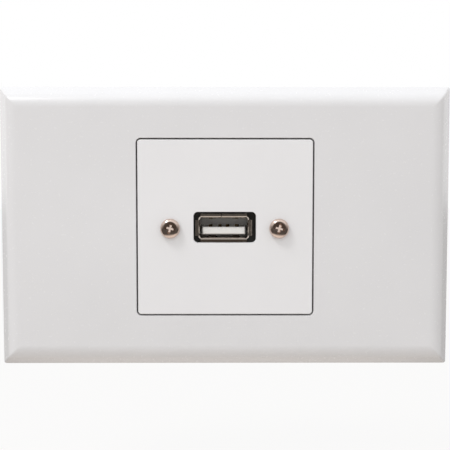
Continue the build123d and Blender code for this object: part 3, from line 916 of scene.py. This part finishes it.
@dataclass
class PlateScrew:
    """Plated pan-head screw with a cross recess and a thread on its shank."""

    face: float = FACE
    head: float = 5.1
    foot_blend: float = 0.1
    head_height: float = 1.975
    land: float = 0.42
    edge_radius: float = 1.3
    edge_turn: float = 66.0
    shank: float = 3.0
    core: float = 2.5
    length: float = 8.0
    tip: float = 0.4
    neck: float = 1.6
    pitch: float = 0.5
    wing_span: float = 3.05
    wing_width: float = 0.78
    taper: float = 0.6
    recess_depth: float = 1.25
    recess_clear: float = 0.2
    turn: float = 15.0
    round_steps: int = 64
    curve_steps: int = 10
    thread_steps: int = 32
    thread_share: float = 0.45

    def profile(self) -> list[Flat]:
        """Draw half the section of the screw.

        Returns:
            Its points as (radius, depth), from the middle of the tip to the top of the head.
        """
        radius = self.head / 2
        end = self.face - self.length
        points = [
            (0, end),
            (self.core / 2 - self.tip, end),
            (self.core / 2, end + self.tip),
            (self.core / 2, self.face - self.neck),
            (self.shank / 2, self.face - self.neck + (self.shank - self.core) / 2),
            (self.shank / 2, self.face),
            (radius - self.foot_blend, self.face),
            (radius, self.face + self.foot_blend),
        ]
        steps = self.curve_steps
        middle, edge = radius - self.edge_radius, self.edge_radius
        for step in range(steps + 1):
            angle = math.radians(self.edge_turn * step / steps)
            depth = self.face + self.land + edge * math.sin(angle)
            points.append((middle + edge * math.cos(angle), depth))
        rim_radius, rim_depth = points[-1]
        top = self.face + self.head_height
        rise = top - rim_depth
        dome = (rim_radius**2 + rise**2) / (2 * rise)
        full = math.asin(rim_radius / dome)
        for step in range(1, steps + 1):
            angle = full * (1 - step / steps)
            points.append((dome * math.sin(angle), top - dome * (1 - math.cos(angle))))
        return points

    def recess_tool(self, middle: Flat) -> Workpiece:
        """Make the two crossed tapered wings that cut the recess.

        Args:
            middle: Middle of the screw.

        Returns:
            The cutting piece.
        """
        tool = Workpiece("recess_tool")
        top = self.face + self.head_height + self.recess_clear
        floor = self.face + self.head_height - self.recess_depth
        # Nine faces of 1 mm lose the four at the corners and become a cross.
        bmesh.ops.create_grid(tool.mesh, x_segments=3, y_segments=3, size=1.5)
        corners = [face for face in tool.mesh.faces if face.calc_center_median().length > 1.2]
        bmesh.ops.delete(tool.mesh, geom=corners, context="FACES")
        for vert in tool.mesh.verts:
            for axis in (0, 1):
                reach = self.wing_span if abs(vert.co[axis]) > 1 else self.wing_width
                vert.co[axis] = math.copysign(reach / 2, vert.co[axis])
        made = bmesh.ops.extrude_face_region(tool.mesh, geom=tool.mesh.faces[:], use_keep_orig=True)
        low = only(made["geom"], bmesh.types.BMVert)
        bmesh.ops.translate(tool.mesh, verts=low, vec=(0, 0, floor - top))
        bmesh.ops.scale(tool.mesh, verts=low, vec=(self.taper, self.taper, 1))
        place = (
            Matrix.Translation((middle[0], -top, middle[1]))
            @ Matrix.Rotation(math.radians(90), 4, "X")
            @ Matrix.Rotation(math.radians(-self.turn), 4, "Z")
        )
        bmesh.ops.transform(tool.mesh, matrix=place, verts=tool.mesh.verts)
        return tool

    def add_thread(self, piece: Workpiece, middle: Flat) -> None:
        """Wind a ridge round the shank.

        Args:
            piece: The screw.
            middle: Its middle.
        """
        x, z = middle
        turns = int((self.length - self.neck - self.tip - self.pitch) / self.pitch)
        start = self.face - self.length + self.tip + self.pitch / 2
        root, half = self.core / 2 - OVERLAP, self.thread_share * self.pitch
        ridge = [(root, start - half), (self.shank / 2, start), (root, start + half)]
        verts = [piece.mesh.verts.new((x + radius, -depth, z)) for radius, depth in ridge]
        edges = [piece.mesh.edges.new(pair) for pair in zip(verts, verts[1:] + verts[:1])]
        steps = self.thread_steps
        bmesh.ops.contextual_create(piece.mesh, geom=edges)
        made = bmesh.ops.spin(
            piece.mesh,
            geom=verts + edges,
            cent=(x, 0, z),
            axis=(0, -1, 0),
            dvec=(0, -self.pitch / steps, 0),
            angle=2 * math.pi * turns,
            steps=steps * turns,
        )
        last = only(made["geom_last"], bmesh.types.BMEdge)
        bmesh.ops.contextual_create(piece.mesh, geom=last)

    def build(self, workshop: Workshop) -> None:
        """Make both screws of the insert.

        Args:
            workshop: Gives the material.
        """
        for name, side in (("left", -1), ("right", 1)):
            middle = InsertPlate().screw_middle(side)
            piece = Workpiece(f"screw_{name}")
            piece.turn(self.profile(), middle, self.round_steps)
            bmesh.ops.remove_doubles(piece.mesh, verts=piece.mesh.verts, dist=TINY)
            piece.cut(self.recess_tool(middle))
            self.add_thread(piece, middle)
            piece.finish("plated_screw", workshop, f"plate_screw_{name}")


@dataclass
class ReceptacleShell:
    """Folded sheet round the mouth: a tube with windows and fingers, and four flared lips."""

    place: Flat = RECEPTACLE
    mouth: Flat = (12.5, 5.12)
    sheet: float = 0.3
    mouth_depth: float = 4.7
    bend: float = 0.6
    flare: float = 75.0
    lip_flat: float = 0.5
    lip_width: Flat = (12.0, 4.1)
    lip_root: float = 4.68
    seam: Flat = (-0.6, 0.14)
    burr: float = 0.05
    bend_steps: int = 12

    def section(self, reach: float) -> list[Flat]:
        """Draw the section of a lip.

        Args:
            reach: Distance of its inner face from the mouth's axis.

        Returns:
            Its corners as (depth, distance from the axis).
        """
        wall = reach + self.sheet / 2
        flare = math.radians(self.flare)
        sides = []
        for offset in (-self.sheet / 2, self.sheet / 2):
            radius = self.bend - offset
            points = [(self.lip_root, wall + offset)]
            for step in range(self.bend_steps + 1):
                angle = flare * step / self.bend_steps
                height = wall + self.bend - radius * math.cos(angle)
                points.append((self.mouth_depth + radius * math.sin(angle), height))
            depth = points[-1][0] + self.lip_flat * math.cos(flare)
            points.append((depth, points[-1][1] + self.lip_flat * math.sin(flare)))
            sides.append(points)
        return sides[0] + sides[1][::-1]

    def add_lip(self, piece: Workpiece, reach: float, ends: Flat, turn: float) -> None:
        """Add one lip.

        Args:
            piece: The shell.
            reach: Distance of the wall from the mouth's axis.
            ends: Where the lip starts and stops across the mouth.
            turn: Degrees round the mouth's axis, counted from the upper lip.
        """
        before = set(piece.mesh.verts)
        piece.prism(self.section(reach), *ends, self.burr)
        made = [vert for vert in piece.mesh.verts if vert not in before]
        x, z = self.place
        place = Matrix.Translation((x, 0, z)) @ Matrix.Rotation(math.radians(turn), 4, "Y")
        bmesh.ops.transform(piece.mesh, matrix=place, verts=made)

    def build(self, workshop: Workshop) -> None:
        """Keep the tube of the solid and bend the lips anew.

        Args:
            workshop: Gives the material.
        """
        piece = Workpiece("receptacle_shell")
        piece.take("usb_shell")
        piece.break_edges(piece.sharp_edges(SHARP_FOLD), self.burr)
        piece.trim(self.lip_root)
        width, height = (reach / 2 for reach in self.mouth)
        wide, tall = (reach / 2 for reach in self.lip_width)
        seam, gap = self.seam
        lips = (
            (height, (-wide, seam - gap / 2), 0),
            (height, (seam + gap / 2, wide), 0),
            (height, (-wide, wide), 180),
            (width, (-tall, tall), 90),
            (width, (-tall, tall), 270),
        )
        for reach, ends, turn in lips:
            self.add_lip(piece, reach, ends, turn)
        piece.finish("shell_steel", workshop, "usb_shell")


@dataclass
class ContactTongue:
    """White insulator whose tongue stands in the mouth, with its edges broken."""

    edge: float = 0.08

    def build(self, workshop: Workshop) -> None:
        """Take the solid, round its sharp edges and dress it.

        Args:
            workshop: Gives the material.
        """
        piece = Workpiece("contact_tongue_finished")
        piece.take("contact_tongue")
        piece.break_edges(piece.sharp_edges(SHARP_FOLD), self.edge)
        piece.finish("tongue_white", workshop, "contact_tongue")


@dataclass
class SolderJoints:
    """Cones of solder round the contact tails and the terminal pins."""

    place: Flat = RECEPTACLE
    board_back: float = BOARD_BACK
    board_front: float = BOARD_FRONT
    contact_x: tuple[float, ...] = CONTACT_X
    contact_z: float = -0.135
    pole_pitch: float = 3.5
    poles: int = 5
    pole_z: float = -8.0
    joint: float = 0.85
    waist: float = 0.34
    rise: float = 0.95
    round_steps: int = 20

    def cone(self, piece: Workpiece, middle: Flat, root: float, side: int) -> None:
        """Add one joint, hollowed between its foot and the pin.

        Args:
            piece: The piece that holds all joints of one side.
            middle: Its pin, as (x, z).
            root: Depth of the board's face.
            side: 1 towards the room, -1 into the wall box.
        """
        reach = self.joint - self.waist
        under = root - side * OVERLAP
        profile = [(0, under), (self.joint, under), (self.joint, root)]
        for step in range(1, ARC_STEPS + 1):
            angle = math.radians(90 * step / ARC_STEPS)
            depth = root + side * self.rise * (1 - math.cos(angle))
            profile.append((self.joint - reach * math.sin(angle), depth))
        profile.append((0, root + side * self.rise))
        piece.turn(profile, middle, self.round_steps)

    def build(self, workshop: Workshop) -> None:
        """Make the joints behind and in front of the board.

        Args:
            workshop: Gives the material.
        """
        x, z = self.place
        tails = Workpiece("solder_tails")
        for offset in self.contact_x:
            self.cone(tails, (x + offset, z + self.contact_z), self.board_back, -1)
        tails.finish("clamp_metal", workshop)
        pins = Workpiece("solder_pins")
        first = -(self.poles - 1) / 2 * self.pole_pitch
        for pole in range(self.poles):
            middle = (x + first + pole * self.pole_pitch, z + self.pole_z)
            self.cone(pins, middle, self.board_front, 1)
        pins.finish("clamp_metal", workshop)


@dataclass
class BoardTracks:
    """Copper tracks under the solder mask, from the contact tails down to the terminal pins."""

    place: Flat = RECEPTACLE
    board_back: float = BOARD_BACK
    rise: float = 0.035
    sunk: float = 0.02
    width: float = 0.55
    wide: float = 1.0
    wide_beyond: float = 2.0
    slant: float = 0.8
    contact_x: tuple[float, ...] = CONTACT_X
    pin_x: tuple[float, ...] = (7.0, 3.5, 0.0, -3.5)
    top: float = -1.2
    knee: float = -2.6
    foot: float = -7.1
    earth: tuple[Flat, ...] = ((-7.4, 2.2), (-8.6, 0.6), (-8.6, -4.6), (-7.0, -6.4))

    def route(self, start: float, end: float) -> list[Flat]:
        """Corners of one track: down from a tail, across at a slant and down to a pin."""
        bend = self.knee - self.slant * abs(end - start)
        return [(start, self.top), (start, self.knee), (end, bend), (end, self.foot)]

    def lay_route(self, piece: Workpiece, route: list[Flat], width: float) -> None:
        """Lay one track on the back of the board.

        Args:
            piece: The piece that holds all tracks.
            route: Corners of the track, as (x, z) from the receptacle's axis.
            width: Width of the track.
        """
        x, z = self.place
        points = [(x + px, z + pz) for px, pz in route]
        piece.track(points, width, (self.board_back + self.sunk, self.board_back - self.rise))

    def build(self, workshop: Workshop) -> None:
        """Lay the four signal tracks and the earth track.

        Args:
            workshop: Gives the material.
        """
        piece = Workpiece("board_tracks")
        for start, end in zip(self.contact_x, self.pin_x):
            width = self.wide if abs(start) > self.wide_beyond else self.width
            self.lay_route(piece, self.route(start, end), width)
        self.lay_route(piece, list(self.earth), self.wide)
        piece.finish("board_green", workshop, look="masked_copper")


@dataclass
class Studio:
    """Camera, lamps, world and floor.

    The camera's distance, angles and lens come from a fit to the outline of the plate and to the
    lines of the gap.
    """

    distance: float = 177.2
    elevation: float = 2.98
    azimuth: float = -0.22
    lens: float = 53.11
    sensor: float = 36.0
    shift: Flat = (-0.0001, 0.0024)
    clip: Flat = (5.0, 50000.0)
    floor_z: float = -70.0
    floor_size: float = 6000.0
    floor_colour: Colour = (0.54, 0.5, 0.465)
    floor_rough: float = 0.9
    floor_white_share: float = 0.9
    # Warm tint of the painted glow on the floor that only metal sees: a painted reflection.
    painted_floor_glow_tint: Colour = (1.0, 0.94, 0.88)
    light_from: Point = (-0.47, -0.35, 0.81)
    ambient: float = 0.915
    ambient_tint: Colour = (0.985, 1.0, 1.012)
    ambient_lean: float = 0.05
    room_dark: Colour = (0.07, 0.056, 0.045)
    room_front: Flat = (0.4, 0.78)
    room_rise: Flat = (0.0, 0.85)
    room_side: float = 0.2
    behind_span: Flat = (0.0, 0.3)
    # Painted reflection on the floor for glossy rays: the span in mm from the plate over which the
    # painted glow fades, and its strength near and far.
    painted_glow_span: Flat = (78.0, 125.0)
    painted_floor_glow: Flat = (0.95, 0.1)
    key_distance: float = 980.0
    key_size: float = 240.0
    key_power: float = 3.05
    top_from: Point = (-0.17, -0.2, 0.965)
    top_distance: float = 450.0
    top_size: float = 220.0
    top_power: float = 0.04
    front_place: Point = (-40.0, -560.0, -160.0)
    front_size: float = 420.0
    front_power: float = 0.47

    def build(self) -> None:
        """Set up everything that isn't part of the object."""
        self.build_camera()
        self.build_world()
        self.build_floor()
        self.build_lamps()
        bpy.context.scene.view_settings.view_transform = "Standard"
        LOG.info("studio ready")

    def view_direction(self) -> Vector:
        """Aim the camera.

        Returns:
            The unit vector from the camera to the origin.
        """
        lift, turn = math.radians(self.elevation), math.radians(self.azimuth)
        level = math.cos(lift)
        return Vector((-math.sin(turn) * level, math.cos(turn) * level, -math.sin(lift)))

    def build_camera(self) -> None:
        """Camera that looks at the middle of the plate on the wall plane."""
        data = bpy.data.cameras.new("camera")
        data.lens = self.lens
        data.sensor_width = self.sensor
        data.shift_x, data.shift_y = self.shift
        data.clip_start, data.clip_end = (reach * MM for reach in self.clip)
        camera = put("camera", data)
        view = self.view_direction()
        camera.location = -view * self.distance * MM
        camera.rotation_euler = view.to_track_quat("-Z", "Y").to_euler()
        bpy.context.scene.camera = camera

    def build_world(self) -> None:
        """World of a white studio with a dim opening in front of the object.

        Pale surfaces get a soft light that grows towards the key lamp. Metal mirrors the white
        surround, brightest overhead and behind, and the dim opening in front.
        """
        world = bpy.data.worlds.new("studio")
        world.use_nodes = True
        bpy.context.scene.world = world
        graph = Graph(world.node_tree)
        direction = graph.node("TexCoord").outputs["Generated"]

        def along(axis: Point) -> Socket:
            """Measure how far the direction points along an axis.

            Args:
                axis: The axis, about one unit long.

            Returns:
                A value from -1 to 1.
            """
            dot = graph.node("VectorMath", operation="DOT_PRODUCT")
            graph.link(direction, dot.inputs[0])
            dot.inputs[1].default_value = axis
            return dot.outputs["Value"]

        def joined(operation: str, first: Socket, second: Socket) -> Socket:
            """Join two values by an operation.

            Args:
                operation: Its name.
                first: First value.
                second: Second value.

            Returns:
                The result.
            """
            made = graph.node("Math", operation=operation)
            graph.link(first, made.inputs[0])
            graph.link(second, made.inputs[1])
            return made.outputs["Value"]

        soft, mirrored, seen = (graph.node("Background") for _ in range(3))
        soft.inputs["Color"].default_value = (*self.ambient_tint, 1)
        span = (self.ambient - self.ambient_lean, self.ambient + self.ambient_lean)
        strength = graph.ramp(along(self.light_from), (-1, 1), span, Ramp.STRAIGHT)
        graph.link(strength, soft.inputs["Strength"])
        in_front = graph.ramp(along((0, -1, 0)), self.room_front, (1, 0))
        overhead = graph.ramp(along((0, 0, 1)), self.room_rise, (self.room_side, 1))
        behind = graph.ramp(along((0, 1, 0)), self.behind_span, (0, 1))
        white = joined("MAXIMUM", joined("MULTIPLY", in_front, overhead), behind)
        graph.link(graph.blend(white, self.room_dark, (1, 1, 1)), mirrored.inputs["Color"])
        seen.inputs["Color"].default_value = (1, 1, 1, 1)
        path = graph.node("LightPath").outputs
        unseen = graph.choose(path["Is Glossy Ray"], soft.outputs[0], mirrored.outputs[0])
        shown = graph.choose(path["Is Camera Ray"], unseen, seen.outputs[0])
        graph.link(shown, graph.tree.nodes["World Output"].inputs["Surface"])

    def build_floor(self) -> None:
        """Pale floor a little below the plate.

        It looks almost white to the camera and keeps a little of the plate's shadow. Metal sees a
        painted reflection
        instead: a warm painted glow that only glossy rays see, bright near the plate and dim further
        away.
        """
        sheet = bmesh.new()
        bmesh.ops.create_grid(sheet, x_segments=2, y_segments=2, size=self.floor_size / 2 * MM)
        bmesh.ops.translate(sheet, verts=sheet.verts, vec=(0, 0, self.floor_z * MM))
        mesh = bpy.data.meshes.new("floor")
        sheet.to_mesh(mesh)
        sheet.free()
        floor = put("floor", mesh)
        graph = MaterialGraph("floor_white")
        graph.shader.inputs["Base Color"].default_value = (*self.floor_colour, 1)
        graph.shader.inputs["Roughness"].default_value = self.floor_rough
        # near is a painted glow: an emission that only glossy rays see, so metal shows a painted
        # reflection of the floor.
        white, near = (graph.node("Emission") for _ in range(2))
        white.inputs["Color"].default_value = (1, 1, 1, 1)
        white.inputs["Strength"].default_value = 1.0
        near.inputs["Color"].default_value = (*self.painted_floor_glow_tint, 1)
        reach = graph.node("VectorMath", operation="LENGTH")
        graph.link(graph.place, reach.inputs[0])
        span = (self.painted_glow_span[0] * MM, self.painted_glow_span[1] * MM)
        fade = graph.ramp(reach.outputs["Value"], span, self.painted_floor_glow)
        graph.link(fade, near.inputs["Strength"])
        path = graph.node("LightPath").outputs
        share = graph.node("Math", operation="MULTIPLY")
        graph.link(path["Is Camera Ray"], share.inputs[0])
        share.inputs[1].default_value = self.floor_white_share
        lit = graph.choose(share.outputs["Value"], graph.shader.outputs["BSDF"], white.outputs[0])
        # Glossy rays see the painted glow instead of the lit floor.
        shown = graph.choose(path["Is Glossy Ray"], lit, near.outputs[0])
        graph.link(shown, graph.tree.nodes["Material Output"].inputs["Surface"])
        mesh.materials.append(graph.material)

    def build_lamps(self) -> None:
        """Soft lamps: a large key above and to the left, one over the rim and a weak one in front."""
        key = tuple(self.key_distance * part for part in self.light_from)
        top = tuple(self.top_distance * part for part in self.top_from)
        self.lamp("key", key, self.key_size, self.key_power)
        self.lamp("top", top, self.top_size, self.top_power)
        self.lamp("front", self.front_place, self.front_size, self.front_power)

    def lamp(self, name: str, place: Point, size: float, power: float) -> None:
        """Add a square lamp that faces the object.

        Args:
            name: The lamp's name.
            place: Its middle, in millimetres.
            size: Its side, in millimetres.
            power: Its power in watts.
        """
        data = bpy.data.lights.new(name, "AREA")
        data.shape = "SQUARE"
        data.size = size * MM
        data.energy = power
        lamp = put(name, data)
        lamp.location = Vector(place) * MM
        lamp.rotation_euler = (-Vector(place)).to_track_quat("-Z", "Y").to_euler()


def main() -> None:
    """Build the studio and every piece in order."""
    logging.basicConfig(level=logging.INFO, format="%(name)s: %(message)s")
    Studio().build()
    workshop = Workshop()
    workshop.dress_nodes()
    assemblies = (
        CoverPlate(),
        InsertPlate(),
        PlateScrew(),
        ReceptacleShell(),
        ContactTongue(),
        SolderJoints(),
        BoardTracks(),
    )
    for assembly in assemblies:
        assembly.build(workshop)


if __name__ == "__main__":
    main()
